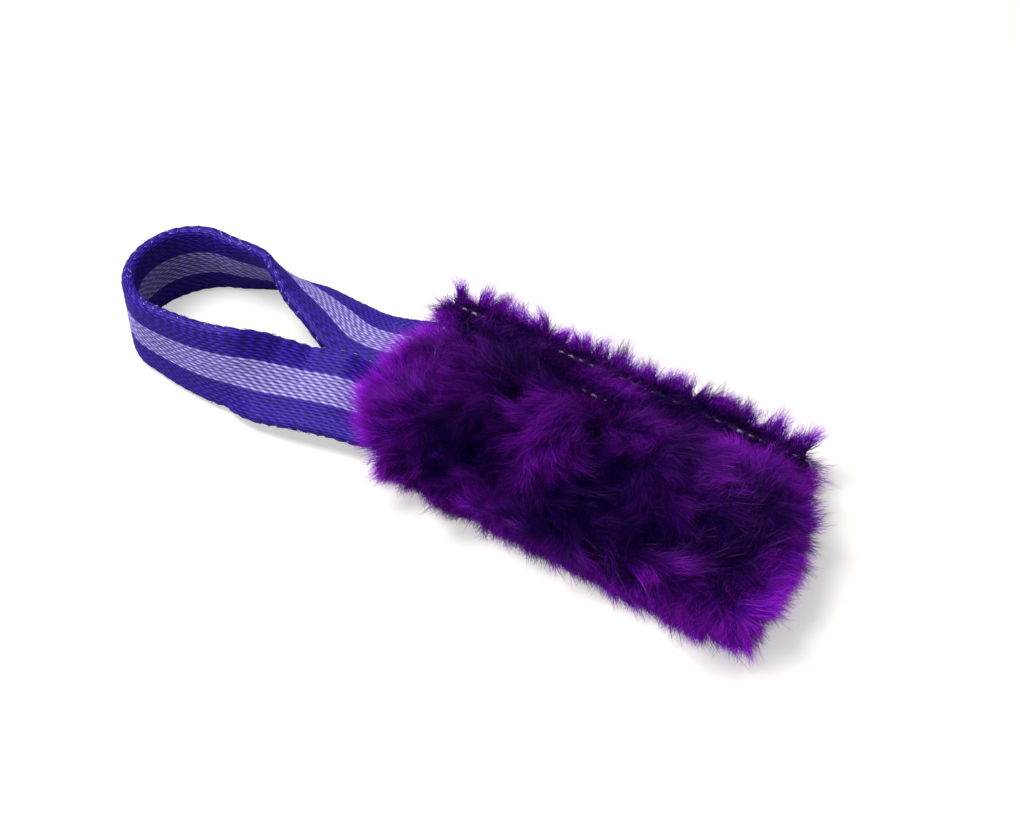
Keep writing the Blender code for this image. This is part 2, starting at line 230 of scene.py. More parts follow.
# The way the pile lies: share of the body's length from the mouth, share of its half width towards the
# seam rows, and heading in degrees from +X towards +Y
flow_shares = (
    (0.07, -0.61, -130), (0.03, -0.12, 165), (0.15, -0.13, 150), (0.06, 0.63, 140), (0.12, 1.02, 120),
    (0.24, 1.03, 110), (0.38, 1.00, 100), (0.50, 0.99, 90), (0.62, 0.97, 75), (0.73, 0.99, 60),
    (0.85, 0.97, 65), (0.36, -0.12, -150), (0.46, -0.13, -120), (0.48, -0.50, -155), (0.33, -0.59, -105),
    (0.54, 0.00, -70), (0.56, 0.39, -35), (0.64, -0.02, 55), (0.30, -0.98, -65), (0.42, -0.98, -15),
    (0.59, -0.97, -15), (0.73, -1.01, -20), (0.73, -0.04, -70), (0.73, -0.79, 20), (0.87, -0.60, 40),
    (0.91, -0.23, 60), (0.98, -0.15, 25), (1.00, -0.51, -15), (0.95, -0.86, -50), (0.88, -1.05, -50),
    (0.92, 0.56, 10), (0.68, 0.48, 90), (0.80, 0.41, 50),
)
flow_reach_share = 0.10

# What turns the pile out of that way: random turns in radians, pushes as strong as the flow where they are
# 1, and limits to how far it leans towards the seam rows
wide_turn_size = 0.42
fine_turn_size = 0.22
end_push = 1.4
mouth_push = 1.0
raw_edge_push = 1.2
flap_push = 0.8
band_push = 1.6
band_way = (0.9, -0.3)
band_way_at_mouth = (-1.8, -1.0)
fold_drop = 0.9
side_reach_share = 0.7
body_side_least = -0.4
band_side_limit = 0.6
flap_side_least = 0.45
worn_side_ease = 0.45

# Crests and hollows of the pile, for its shape and its painted light and shade: the same two shares, and a
# height from -1 to 1
relief_shares = (
    (0.37, -0.60, -1.0), (0.30, -0.63, -0.7), (0.57, -0.36, -1.0), (0.63, -0.52, -0.7), (0.70, -0.43, -0.8),
    (0.82, -0.49, -1.0), (0.86, -0.23, -0.8), (0.55, -0.86, -0.5), (0.36, -0.05, -0.4), (0.60, 0.17, 0.8),
    (0.44, 0.03, 0.5), (0.44, -0.30, 0.4), (0.73, 0.06, 0.5), (0.83, 0.07, 0.3), (0.95, -0.48, 0.5),
    (0.72, -0.96, 0.6), (0.87, -1.02, 0.5), (0.09, -0.40, 0.8), (0.13, -0.82, 0.7), (0.09, 0.08, 0.6),
)
relief_reach_share = 0.035
relief_noise = 0.22
# Painted light and shade of the crests and hollows: a wider reach, a height, noise and an upper limit
shade_reach_share = 0.055
shade_height = 0.8
shade_noise = 0.35
shade_limit = 1.3
worn_share = 0.42
worn_run_share = 0.2
worn_depth = 0.75
band_share = 0.42

# Where the pile's parts pass into each other: the upward part of the backing's normal, and the change in it
# over which they do
below_slope, below_run = 0.2, 0.6
fold_slope, fold_run = 0.8, 0.5
upper_run = 0.5

# Length of the pile and its lift in degrees at the root and at the tip: on the body, what a crest and
# chance change, and on each other part, where the length is a share of pile_length
body_root_lift = 66.0
body_tip_lift = 22
crest_lift = 9
random_lift = 6
crest_length_share = 0.20
random_length_share = 0.10
part_crest_length_share = 0.15
part_piles = (
    ("end", 0.70, 58, 12), ("mouth", 0.66, 64, 40), ("band", band_share, 44, 10), ("beside", 0.60, 52, 8),
    ("flap", 0.56, 62, 32), ("fold", 0.50, 40, 2), ("below", 0.44, 24, 2), ("hung", 0.60, 62, 40),
    ("outer_groove", 0.16, 44, 6), ("inner_groove", 0.22, 46, 8),
)

# A fibre's bend along its length, in shares of it: from steep to laid over, and then a little down
steep_share = 0.45
droop_start_share = 0.5
droop_degrees = 12
curl_power = 1.2
sag = 0.20

# Painted light and shade of the pile, from 0 in a hollow to 1 on a crest: on the body, and what each other
# part adds
body_light = 0.165
crest_light = 0.32
light_spread = 0.06
# Painted light on the mouth, the end, the flap, the fold, the lower side and the band; painted shade in the
# two grooves along the rows of stitches
painted_part_lights = (
    ("mouth", 0.50), ("end", 0.45), ("flap", 1.10), ("fold", 0.46), ("below", 0.30), ("band", 0.18),
    ("outer_groove", -1.6), ("inner_groove", -0.5),
)
# The painted light grows from the root to the tip by this power, which leaves the roots in painted shade
light_power = 0.5
flap_light_power = 0.1

# Where the pile meets the top of the body, the webbing and the floor
pressed_share = 0.3
facing_up = -0.1
webbing_grip_share = 2.5
floor_spread_share = 4

# A ribbon's cell on the bake's map
cell_margin_across = 0.12
cell_margin_along = 0.06

# Stitches and their two plies
stitch_samples = 12
dip_start_share = 0.35
dip_run_share = 0.45
twist_pitch_share = 3
ply_overlap_share = 1.15
ply_sides = 8

# Camera, from the photograph's perspective
view_azimuth = 33.3
view_elevation = 46.0
view_distance = 0.400
view_centre = (0.0109, 0.0074, 0.0)
focal_pixels = 1440.0
picture_width = 1020
sensor_width = 36.0

# Lights: direction in shares of the picture's right, of the way into it and of up, then distance, width,
# power and colour
lights = (
    ("overhead", (-0.46, 0.02, 1.0), 0.9, 0.42, 7.6, (1.0, 0.99, 0.98)),
    ("fill", (-0.80, -0.60, 0.45), 1.1, 0.5, 2.6, (1.0, 0.99, 0.97)),
)
floor_reach = 3.0
floor_glow = 0.48
world_light = 0.30
world_light_seen = 0.70

# Colours, and what varies them: scales of noise, powers, and the gain and least level of a tone
DARK_YARN = (0.045, 0.013, 0.450, 1.0)
PALE_YARN = (0.430, 0.360, 1.000, 1.0)
YARN_SHINE = (0.60, 0.52, 1.0, 1.0)
CATCH = (0.48, 0.40, 0.88, 1.0)
THREAD = (0.62, 0.58, 0.68, 1.0)
# Fibre colour from root to tip: the tip's lighter magenta is painted light that gets through the thin tips
PILE_ROOT = (0.0030, 0.0001, 0.0120, 1.0)
PILE_MIDDLE = (0.024, 0.0003, 0.216, 1.0)
PILE_TIP = (0.103, 0.0014, 0.460, 1.0)
PILE_SHINE = (0.62, 0.18, 1.0, 1.0)
# Painted shade in hollows and painted light on crests, as gains on the fibre colour
PILE_HOLLOW_SHADE = (0.14, 0.05, 0.24, 1.0)
PILE_CREST_LIGHT = (7.60, 26.0, 3.30, 1.0)
PILE_GLOW = (2.5, 2.4, 1.20, 1.0)
KNIT_DARK = (0.010, 0.0008, 0.035, 1.0)
KNIT_PALE = (0.020, 0.0015, 0.070, 1.0)
FLOOR_SEEN = (0.60, 0.58, 0.55, 1.0)
FLOOR_UNSEEN = (0.30, 0.30, 0.30, 1.0)
WHITE = (1.0, 1.0, 1.0, 1.0)
# Painted shade between the webbing's yarns: a power on their height, and its gain and least level
yarn_shade_power = 2.3
yarn_shade_levels = (1.20, 0.03)
yarn_tone_levels = (0.30, 0.94)
fibre_tone_power = 3.0
fibre_tone_levels = (1.20, 0.62)
pile_middle_share = 0.55
see_through_share = 0.36
dull_thread_share = 0.62
filament_relief = 0.00008
filament_scale = 9000.0
knit_scale = 900.0
twist_scale = 6000.0

rng = np.random.default_rng(11)
strand_shares = np.linspace(0, 1, strand_segments + 1)


def smooth_share(share):
    share = np.clip(share, 0.0, 1.0)
    return share * share * (3 - 2 * share)


def unit(vectors):
    return vectors / np.maximum(np.linalg.norm(vectors, axis=-1, keepdims=True), 1e-12)


def distance_along(line):
    """The distance from a line's first point to each of its points."""
    return np.concatenate([[0], np.cumsum(np.linalg.norm(np.diff(line, axis=0), axis=1))])


def smooth_field(wavelength):
    """A smooth random function of place, about -1 to 1, as a sum of waves of about one length."""
    ways = unit(rng.normal(size=(waves_in_field, 3))) * (2 * math.pi / wavelength)
    ways *= rng.uniform(*wave_number_range, size=(waves_in_field, 1))
    phases = rng.uniform(0, 2 * math.pi, size=waves_in_field)

    def at(places):
        return np.cos(places @ ways.T + phases).sum(axis=-1) * math.sqrt(2 / waves_in_field)

    return at


# Meshes


def place_object(name, data):
    obj = bpy.data.objects.new(name, data)
    bpy.context.scene.collection.objects.link(obj)
    return obj


def mesh_object(name, places, faces, material, attributes=None, uv=None):
    """An object from arrays: faces is a list of arrays with one face a row; uv follows their corners."""
    mesh = bpy.data.meshes.new(name)
    places = np.ascontiguousarray(places, dtype=np.float32).reshape(-1, 3)
    mesh.vertices.add(len(places))
    mesh.vertices.foreach_set("co", places.ravel())
    corners = np.concatenate([face.ravel() for face in faces]).astype(np.int32)
    sizes = np.concatenate([np.full(len(face), face.shape[1]) for face in faces])
    starts = np.concatenate([[0], np.cumsum(sizes)[:-1]]).astype(np.int32)
    mesh.loops.add(len(corners))
    mesh.loops.foreach_set("vertex_index", corners)
    mesh.polygons.add(len(starts))
    mesh.polygons.foreach_set("loop_start", starts)
    mesh.update(calc_edges=True)
    mesh.shade_smooth()
    for key, values in (attributes or {}).items():
        layer = mesh.attributes.new(key, "FLOAT_COLOR", "POINT")
        layer.data.foreach_set("color", np.ascontiguousarray(values, dtype=np.float32).ravel())
    if uv is not None:
        layer = mesh.uv_layers.new(name="OFBake")
        layer.data.foreach_set("uv", np.ascontiguousarray(uv, dtype=np.float32).ravel())
    mesh.materials.append(material)
    return place_object(name, mesh)


def grid_faces(rows, columns, closed):
    """Quads between the rows of a grid of points, whose columns may close into a ring."""
    counts = np.arange(rows - 1), np.arange(columns if closed else columns - 1)
    row, column = np.meshgrid(*counts, indexing="ij")
    after = (column + 1) % columns
    low, high = row * columns, (row + 1) * columns
    return np.stack([low + column, low + after, high + after, high + column], axis=-1).reshape(-1, 4)


def tubes(lines, radius, sides):
    """Points and faces of round tubes along lines of equal point count: lines is (count, points, 3)."""
    count, points = lines.shape[:2]
    along = unit(np.gradient(lines, axis=1))
    across = unit(np.cross(along, np.where(np.abs(along[..., 2:]) > 0.9, (1.0, 0, 0), (0, 0, 1.0))))
    upward = np.cross(across, along)
    angles = np.arange(sides) * 2 * math.pi / sides
    ring = across[:, :, None] * np.cos(angles)[:, None] + upward[:, :, None] * np.sin(angles)[:, None]
    places = lines[:, :, None] + ring * radius
    shift = (np.arange(count) * points * sides)[:, None]
    sleeves = grid_faces(points, sides, closed=True)[None] + shift[..., None]
    first = np.arange(sides)
    last = first[::-1] + (points - 1) * sides
    return places.reshape(-1, 3), [sleeves.reshape(-1, 4), first + shift, last + shift]


# Materials


def new_material(name):
    material = bpy.data.materials.new(name)
    material.use_nodes = True
    return material, material.node_tree, material.node_tree.nodes["Principled BSDF"]


def add_node(tree, kind, **values):
    node = tree.nodes.new(kind)
    for key, value in values.items():
        setattr(node, key, value)
    return node


def set_inputs(node, values):
    for name, value in values.items():
        node.inputs[name].default_value = value


def feed(tree, sockets, values):
    """Gives each socket its value: another socket, or a constant."""
    for socket, value in zip(sockets, values):
        if isinstance(value, bpy.types.NodeSocket):
            tree.links.new(value, socket)
        else:
            socket.default_value = value


def math_node(tree, operation, *values):
    """Any operation on sockets or numbers."""
    node = add_node(tree, "ShaderNodeMath", operation=operation)
    feed(tree, node.inputs, values)
    return node.outputs[0]


def mix_colours(tree, share, first, second, blend="MIX"):
    node = add_node(tree, "ShaderNodeMix", data_type="RGBA", blend_type=blend)
    feed(tree, (node.inputs[0], node.inputs[6], node.inputs[7]), (share, first, second))
    return node.outputs[2]


def multiplied(tree, first, second):
    return mix_colours(tree, 1.0, first, second, "MULTIPLY")


def grey(tree, level):
    node = add_node(tree, "ShaderNodeCombineColor")
    feed(tree, node.inputs, (level, level, level))
    return node.outputs[0]


def noise(tree, scale):
    """Fine noise that stays with the object."""
    node = add_node(tree, "ShaderNodeTexNoise")
    node.inputs["Scale"].default_value = scale
    place = add_node(tree, "ShaderNodeTexCoord")
    tree.links.new(place.outputs["Object"], node.inputs["Vector"])
    return node.outputs[0]


def read_channels(tree, name):
    attribute = add_node(tree, "ShaderNodeAttribute", attribute_name=name)
    parts = add_node(tree, "ShaderNodeSeparateColor")
    tree.links.new(attribute.outputs["Color"], parts.inputs[0])
    return parts.outputs


def put_together(tree, kind, first, second):
    """Two shaders on the material's output, through the node that is returned."""
    both = add_node(tree, kind)
    tree.links.new(first.outputs[0], both.inputs[-2])
    tree.links.new(second.outputs[0], both.inputs[-1])
    tree.links.new(both.outputs[0], tree.nodes["Material Output"].inputs["Surface"])
    return both


def webbing_material():
    """Spun yarns in two colours, with painted shade dark down between them and paler where they crown, and
    fine filaments.
    """
    material, tree, shader = new_material("striped_webbing")
    stripe, depth, tone = read_channels(tree, "weave")
    colour = mix_colours(tree, stripe, DARK_YARN, PALE_YARN)
    # Painted shade: the yarns' colour darkens with the weave's height, to near black down between them
    crowned = math_node(tree, "POWER", depth, yarn_shade_power)
    lit = math_node(tree, "MULTIPLY_ADD", crowned, *yarn_shade_levels)
    spread = math_node(tree, "MULTIPLY_ADD", tone, *yarn_tone_levels)
    level = grey(tree, math_node(tree, "MULTIPLY", lit, spread))
    tree.links.new(multiplied(tree, colour, level), shader.inputs["Base Color"])
    bump = add_node(tree, "ShaderNodeBump")
    set_inputs(bump, {"Strength": 0.35, "Distance": filament_relief})
    tree.links.new(noise(tree, filament_scale), bump.inputs["Height"])
    tree.links.new(bump.outputs[0], shader.inputs["Normal"])
    set_inputs(shader, {"Roughness": 0.42, "Specular IOR Level": 0.30, "Specular Tint": YARN_SHINE})
    return material


def pile_material():
    """Silky, translucent fibres: near black at the root, purple along them, painted light at the magenta
    tips where light gets through and on crests, painted shade in hollows.
    """
    material, tree, shader = new_material("fur_pile")
    along, tone, depth = read_channels(tree, "pile")
    # Colour along the fibre, near black at the root; the lighter magenta tip is painted light that gets
    # through
    ramp = add_node(tree, "ShaderNodeValToRGB")
    tree.links.new(along, ramp.inputs[0])
    stops = ramp.color_ramp.elements
    stops[0].color = PILE_ROOT
    stops[1].color = PILE_TIP
    stops.new(pile_middle_share).color = PILE_MIDDLE
    strong = math_node(tree, "POWER", tone, fibre_tone_power)
    level = grey(tree, math_node(tree, "MULTIPLY_ADD", strong, *fibre_tone_levels))
    fibre = multiplied(tree, ramp.outputs[0], level)
    # Painted shade and light: a darker copy of the fibre colour in hollows, a far lighter one on crests,
    # mixed by the painted light level
    hollow, crest = multiplied(tree, fibre, PILE_HOLLOW_SHADE), multiplied(tree, fibre, PILE_CREST_LIGHT)
    colour = mix_colours(tree, depth, hollow, crest)
    tree.links.new(colour, shader.inputs["Base Color"])
    set_inputs(shader, {"Roughness": 0.38, "Specular IOR Level": 0.45, "Specular Tint": PILE_SHINE})
    through = add_node(tree, "ShaderNodeBsdfTranslucent")
    tree.links.new(multiplied(tree, colour, PILE_GLOW), through.inputs["Color"])
    both = put_together(tree, "ShaderNodeMixShader", shader, through)
    both.inputs[0].default_value = see_through_share
    return material


def speckled_material(name, scale, dark, pale, settings):
    """A cloth or thread whose shade varies between two colours."""
    material, tree, shader = new_material(name)
    tree.links.new(mix_colours(tree, noise(tree, scale), dark, pale), shader.inputs["Base Color"])
    set_inputs(shader, settings)
    return material


def thread_material(name, colour):
    """Spun thread with a fine twist in its shade."""
    dull = tuple(dull_thread_share * value for value in colour[:3]) + (1.0,)
    return speckled_material(name, twist_scale, dull, colour, {"Roughness": 0.4, "Sheen Weight": 0.3})


# Webbing


def curve_through(points, step):
    """Points at most one step apart on a smooth curve through the given points."""
    points = [np.array(point, float) for point in points]
    padded = [2 * points[0] - points[1]] + points + [2 * points[-1] - points[-2]]
    found = []
    for a, b, c, d in zip(padded, padded[1:], padded[2:], padded[3:]):
        slope = (c - a) / 2
        bend = a - 5 * b / 2 + 2 * c - d / 2
        twist = (d - a) / 2 + 3 * (b - c) / 2
        count = max(1, math.ceil(np.linalg.norm(c - b) / step))
        for share in np.arange(count) / count:
            found.append(b + share * (slope + share * (bend + share * twist)))
    return np.array(found + [points[-1]])


def lean_at(x, shares):
    """The webbing's lean in radians at a place along X: flat in the fur, on edge towards the loop."""
    out = (mouth_x - x) / handle_reach
    if out < 0:
        mouth_lean = shares[0][1]
        return math.radians(mouth_lean + (flat_lean - mouth_lean) * smooth_share(-out / settling_share))
    places, leans = zip(*shares)
    return math.radians(np.interp(out, places, leans))


def webbing_height(x, lean):
    """The level of the webbing's middle: its lower edge rests, and it rises to its seat inside the fur."""
    rise = (webbing_width / 2 - webbing_thickness / 2) * abs(math.cos(lean))
    resting = rise + webbing_thickness / 2
    inward = smooth_share(1 - (mouth_x - x) / (mouth_lift_share * handle_reach))
    inside = smooth_share((x - mouth_x) / (settling_share * handle_reach))
    mouth_lift = (tail_z - webbing_thickness / 2) * inward
    lifted = resting + mouth_lift * (1 - rise / webbing_width)
    return lifted + (tail_z - lifted) * inside


def leg_points(shares, tail_y):
    """A leg seen from above as (x, y): its tail inside the fur, and its points from the mouth outwards."""
    outside = [(mouth_x - out * handle_reach, loop_y + side * loop_radius) for out, side in shares]
    inside = [(x, tail_y) for x in np.linspace(tail_end_x, settled_x, tail_points)]
    return inside, outside


def round_end():
    """The loop's end as an arc, from its near side to its far side."""
    first, last = -90 - round_end_margin_degrees, -270 + round_end_margin_degrees
    angles = np.radians(np.linspace(first, last, round_end_points))
    return [(loop_x + loop_radius * math.cos(a), loop_y + loop_radius * math.sin(a)) for a in angles]


def webbing_route():
    """(x, y, z, lean) along the webbing, from the near tail's end to the far one's."""
    near_inside, near_outside = leg_points(near_leg_shares, near_tail_y)
    far_inside, far_outside = leg_points(tuple(reversed(far_leg_shares)), far_tail_y)
    far_leg = list(reversed(far_outside)) + list(reversed(far_inside))
    plan = curve_through(near_inside + near_outside + round_end() + far_leg, route_step)
    route = []
    tip = int(np.argmin(plan[:, 0]))
    for index, (x, y) in enumerate(plan):
        near = lean_at(x, near_lean_shares)
        far = lean_at(x, far_lean_shares)
        side = smooth_share((y - loop_y) / (2 * loop_radius) + 1 / 2)
        at_tip = 1 - smooth_share((x - tip_x) / (2 * loop_radius))
        lean = near if index <= tip else far
        lean = lean * (1 - at_tip) + (near * (1 - side) + far * side) * at_tip
        route.append((x, y, webbing_height(x, lean), lean))
    return np.array(route)


def smoothed(values, stations):
    """A running mean over a few stations, with the ends held."""
    padded = np.pad(values, ((stations, stations), (0, 0)), mode="edge")
    kernel = np.hanning(2 * stations + 3)[1:-1]
    kernel /= kernel.sum()
    return np.stack([np.convolve(column, kernel, mode="valid") for column in padded.T], axis=1)


class Webbing:
    """Even stations along the webbing: middle, width direction, outward direction and distance."""

    def __init__(self, step):
        route = webbing_route()
        run = distance_along(route[:, :3])
        self.run = np.arange(0, run[-1], step)
        even = np.stack([np.interp(self.run, run, column) for column in route.T], axis=1)
        even = smoothed(even, max(1, round(route_smoothing / step)))
        self.middle, lean = even[:, :3], even[:, 3:]
        level = unit(np.gradient(self.middle[:, :2], axis=0))
        inward = np.stack([level[:, 1], -level[:, 0], np.zeros(len(level))], axis=1)
        self.along = unit(np.gradient(self.middle, axis=0))
        across = np.cos(lean) * np.array([0, 0, 1.0]) + np.sin(lean) * inward
        across -= (across * self.along).sum(axis=1, keepdims=True) * self.along
        self.across = unit(across)
        self.outward = np.cross(self.across, self.along)
        self.tip = int(np.argmin(self.middle[:, 0]))

    def places(self, stations, across, out):
        """Places at some stations, so far across the webbing and so far out of its middle."""
        found = self.middle[stations] + self.across[stations] * across[..., None]
        return found + self.outward[stations] * out[..., None]

    def passing(self, leg, x):
        """The middle, the width direction and the outward direction where a leg's stations pass each x."""
        order = leg[np.argsort(self.middle[leg, 0])]
        known = self.middle[order, 0]
        return [
            np.stack([np.interp(x, known, values[order, axis]) for axis in range(3)], axis=-1)
            for values in (self.middle, self.across, self.outward)
        ]


def section(shares):
    """The webbing's outline at shares of the way round it: (across, out) and the normal there."""
    radius = webbing_thickness / 2
    half = webbing_width / 2 - radius
    lengths = np.array([2 * half, math.pi * radius, 2 * half, math.pi * radius])
    way = (shares % 1.0) * lengths.sum()
    ends = np.cumsum(lengths)
    part = np.searchsorted(ends, way, side="right").clip(0, 3)
    into = way - np.concatenate([[0], ends])[part]
    angle = np.where(part == 1, math.pi / 2 - into / radius, -math.pi / 2 - into / radius)
    flat = (part == 0) | (part == 2)
    sign = np.where(part == 0, 1.0, -1.0)
    end = np.where(part == 1, half, -half)
    across = np.where(flat, sign * (into - half), end + radius * np.cos(angle))
    out = np.where(flat, sign * radius, radius * np.sin(angle))
    normal_across = np.where(flat, 0.0, np.cos(angle))
    normal_out = np.where(flat, sign, np.sin(angle))
    return np.stack([across, out], axis=-1), np.stack([normal_across, normal_out], axis=-1)


def weave(run, places):
    """Height, winning yarn and its tone for each station and each place round the section, in yarns."""
    drift = np.cumsum(rng.normal(0, yarn_drift, size=(yarn_count, len(run))), axis=1)
    drift -= np.linspace(0, 1, len(run)) * drift[:, -1:]
    widths = rng.uniform(*yarn_width_range, size=yarn_count)
    tones = rng.uniform(size=(yarn_count, int(run[-1] / float_length) + 4))
    height = np.full((len(run), len(places)), -1.0)
    winner = np.zeros(height.shape, int)
    tone = np.zeros(height.shape)
    home = np.floor(places).astype(int)
    for step in (-1, 0, 1):
        yarn = (home + step) % yarn_count
        phase = run[:, None] / float_length + (yarn % 2)[None] * 0.5 + drift[yarn].T
        turn = np.floor(phase)
        within = phase - turn - 0.5
        beside = places - (home + step + 0.5) - yarn_sway * np.sin(2 * math.pi * within)
        lift = 0.5 + 0.5 * np.cos(2 * math.pi * within)
        crown = np.sqrt(np.maximum(0, 1 - (beside / (yarn_half_width_share * widths[yarn])) ** 2))
        found = (1 - float_rise_share + float_rise_share * lift) * crown
        better = found > height
        height = np.where(better, found, height)
        winner = np.where(better, yarn, winner)
        tone = np.where(better, tones[yarn, np.clip(turn.astype(int), 0, tones.shape[1] - 1)], tone)
    return height, winner, tone


def woven_length(name, webbing, first, last, material, pattern):
    """The woven surface between two stations."""
    height, winner, tone = (values[first:last] for values in pattern)
    samples = height.shape[1]
    outline, normals = section(np.arange(samples) / samples)
    at_rim = np.abs(normals[:, 0])
    scallop = rim_scallop * np.cos(2 * math.pi * webbing.run[first:last, None] / scallop_pitch) * at_rim
    out = height * weave_relief * (1 - (1 - rim_relief_share) * at_rim) - weave_inset + scallop
    surface = outline + normals * out[..., None]
    places = webbing.places(np.arange(first, last)[:, None], surface[..., 0], surface[..., 1])
    centres, _ = section((np.arange(yarn_count) + 0.5) / yarn_count)
    pale = (np.abs(centres[:, 0]) < stripe_half_width).astype(float)
    # The pale stripe, the height that sets the painted shade between the yarns, and each float's tone
    colours = np.stack([pale[winner], np.clip(height, 0, 1), tone, np.ones_like(tone)], axis=-1)
    faces = grid_faces(last - first, samples, closed=True)
    row, column = np.divmod(faces, samples)
    column = np.where((column == 0) & (column[:, :1] == samples - 1), samples, column)
    uv = np.stack([column / samples, row / (last - first - 1)], axis=-1)
    return mesh_object(name, places, [faces[:, ::-1]], material, {"weave": colours}, uv[:, ::-1])


def plain_length(name, webbing, chosen, material):
    """The webbing inside the fur, where nothing shows it, with a plain surface and closed ends."""
    outline, _ = section(np.arange(yarn_count) / yarn_count)
    places = webbing.places(chosen[:, None], outline[:, 0], outline[:, 1])
    colours = np.zeros((len(chosen), yarn_count, 4))
    colours[..., 0] = np.abs(outline[:, 0]) < stripe_half_width
    colours[..., 1:3] = hidden_tone
    faces = grid_faces(len(chosen), yarn_count, closed=True)
    first = np.arange(yarn_count)[None]
    last = (len(chosen) - 1) * yarn_count + first[:, ::-1]
    return mesh_object(name, places, [faces[:, ::-1], first, last], material, {"weave": colours})


def edge_stitches(name, webbing, first, last, material):
    """The catch thread that shows as a small zigzag at each pick along both edges."""
    pick = max(1, round(catch_pitch / webbing.run[1]))
    starts = np.arange(first + pick // 2, last - pick, pick)
    half = (webbing_width - webbing_thickness) / 2
    radius = webbing_thickness / 2 + np.array(catch_rise_shares) * catch_radius
    lines = []
    for edge in (1.0, -1.0):
        for middle, spread in catch_strands:
            shown = starts[rng.uniform(size=len(starts)) < catch_share]
            index = (shown + rng.integers(-1, 2, size=len(shown)))[:, None].clip(first, last - 1)
            swing = rng.uniform(-catch_swing, catch_swing, size=(len(shown), 1))
            angle = np.radians(middle + swing + spread * np.array(catch_spread_shares))
            index = index + np.array([-1, 0, 0, 1]) * rng.choice((-1, 1), size=(len(shown), 1))
            index = index.clip(first, last - 1)
            across = edge * (half + radius * np.cos(angle))
            lines.append(webbing.places(index, across, radius * np.sin(angle)))
    places, faces = tubes(np.concatenate(lines), catch_radius, catch_sides)
    return mesh_object(name, places, faces, material)


def make_webbing():
    webbing = Webbing(weave_step)
    x = webbing.middle[:, 0]
    shown = np.flatnonzero(x < mouth_x + hidden_depth)
    first, last = shown[0], shown[-1] + 1
    pattern = weave(webbing.run, np.arange(yarn_count * yarn_samples) / yarn_samples)
    cloth, catch = webbing_material(), thread_material("catch_thread", CATCH)
    bent = np.flatnonzero(x < flex_x - flex_end)
    near, far = bent[0], bent[-1]
    cuts = np.round(np.linspace(near, far, loop_pieces + 1)).astype(int)
    spans = [(f"loop_{number + 1}", cuts[number], cuts[number + 1] + 1) for number in range(loop_pieces)]
    spans += [("near_leg", first, near + 1), ("far_leg", far, last)]
    pieces = []
    for part, low, high in spans:
        name = "webbing_" + part
        pieces.append(woven_length(name, webbing, low, high, cloth, pattern))
        stitches = edge_stitches(name + "_edge_thread", webbing, low, high, catch)
        for obj in (pieces[-1], stitches):
            if part.endswith("leg"):
                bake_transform(obj)
            else:
                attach(obj, "handle")
    stride = round(hidden_step / weave_step)
    for name, chosen in (
        ("near", np.append(np.arange(0, first, stride), first)),
        ("far", np.append(np.arange(last - 1, len(x) - 1, stride), len(x) - 1)),
    ):
        tail = plain_length(f"webbing_{name}_tail", webbing, chosen, cloth)
        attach(tail, "fur_body")
        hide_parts(name + "_tail")
    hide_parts("handle_loop")
    return webbing


# Fur


def along_body(places):
    """Share of the body's length from the mouth, and share of its half width from the middle line."""
    return np.stack(
        [(places[..., 0] - mouth_x) / body_length, (places[..., 1] - middle_y) / (body_width / 2)], axis=-1
    )


def marks_at(marks, places, reach_share):
    """Each mark's weight at each place, by its distance along the body."""
    centres = np.array([mark[:2] for mark in marks]) * (body_length, body_width / 2)
    spots = along_body(places) * (body_length, body_width / 2)
    gaps = ((spots[:, None] - centres) ** 2).sum(axis=-1)
    return np.exp(-gaps / (2 * (reach_share * body_length) ** 2))


def marked_height(places, reach_share):
    return marks_at(relief_shares, places, reach_share) @ np.array([mark[2] for mark in relief_shares])


def relief(places):
    """Where the pile stands in crests and lies in hollows, from -1 to 1."""
    return np.clip(marked_height(places, relief_reach_share) + relief_noise * relief_field(places), -1, 1)


def shade(places):
    """How lit the pile is, as painted light and shade: the same crests and hollows, with softer sides."""
    height = shade_height * marked_height(places, shade_reach_share)
    return np.clip(height + shade_noise * relief_field(places / 2), -1, shade_limit)


def widened(values, pick):
    """Each cell with its eight neighbours, put together by a function of two arrays."""
    padded = np.pad(values, 1, mode="edge")
    found = None
    for i in range(3):
        for j in range(3):
            part = padded[i:i + values.shape[0], j:j + values.shape[1]]
            found = part if found is None else pick(found, part)
    return found


def webbing_room(webbing, x, y):
    """The highest and lowest levels of the webbing over a place inside the mouth, flat ones elsewhere."""
    cell = webbing_thickness / 3
    first = np.array([mouth_x - webbing_width / 4, front_y])
    size = np.array([settled_x + webbing_width - first[0], body_width]) / cell
    columns, rows = size.astype(int)
    top = np.full((columns, rows), tail_z + webbing_thickness / 2)
    bottom = np.full((columns, rows), tail_z - webbing_thickness / 2)
    for across in np.linspace(-webbing_width / 2, webbing_width / 2, 4 * round(webbing_width / cell)):
        places = webbing.middle + webbing.across * across
        column, row = np.floor((places[:, :2] - first) / cell).astype(int).T
        held = (column >= 0) & (column < columns) & (row >= 0) & (row < rows)
        level = places[held, 2]
        np.maximum.at(top, (column[held], row[held]), level + webbing_thickness / 2)
        np.minimum.at(bottom, (column[held], row[held]), level - webbing_thickness / 2)
    for _ in range(2):
        top, bottom = widened(top, np.maximum), widened(bottom, np.minimum)
    for _ in range(3):
        top, bottom = widened(top, np.add) / 9, widened(bottom, np.add) / 9
    column = np.clip(((x - first[0]) / cell).astype(int), 0, columns - 1)
    row = np.clip(((y - first[1]) / cell).astype(int), 0, rows - 1)
    return top[column, row], bottom[column, row]


